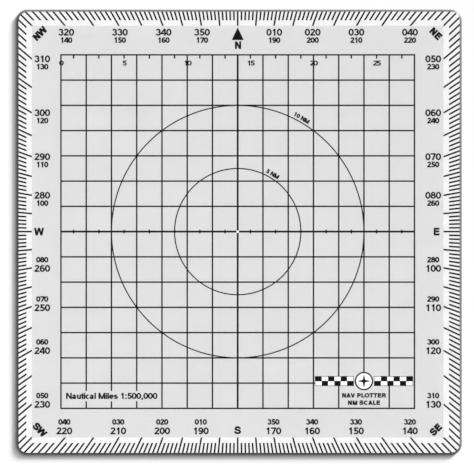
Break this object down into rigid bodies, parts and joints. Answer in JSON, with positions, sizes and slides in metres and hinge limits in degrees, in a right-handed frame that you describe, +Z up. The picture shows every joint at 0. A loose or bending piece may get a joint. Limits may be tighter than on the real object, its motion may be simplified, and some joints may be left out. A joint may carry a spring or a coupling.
{
  "type": "square chart plotter",
  "caption": "Flat square sheet of clear plastic with a bearing scale round its edge, a matt writing panel, a printed mile grid with range circles, and a centre pinhole.",
  "frame": {"origin": "centre of the pinhole on the sheet's underside, which is the centre of the bearing scale", "axes": "+Z up out of the printed face, +Y towards the print's north, +X towards its east"},
  "size_m": [0.1307, 0.1307, 0.0011],
  "materials": {
    "clear_plastic": "clear, polished faces and matt bevelled edges",
    "matt_coat": "fine frosted writing surface",
    "black_ink": "satin screen ink",
    "white_ink": "satin screen ink"
  },
  "bodies": {
    "root": {"base_sheet": "clear_plastic", "writing_panel": "matt_coat", "degree_ticks": "black_ink", "five_degree_ticks": "black_ink", "grid_border": "black_ink", "grid_lines": "black_ink", "north_south_line": "black_ink", "east_west_line": "black_ink", "mile_scale_ticks": "black_ink", "axis_mile_marks": "black_ink", "range_circle_5nm": "black_ink", "range_circle_10nm": "black_ink", "north_arrow": "black_ink", "bar_scale_blocks": "black_ink", "compass_star": "black_ink", "bar_scale_fill": "white_ink", "star_disc": "white_ink"}
  },
  "joints": []
}
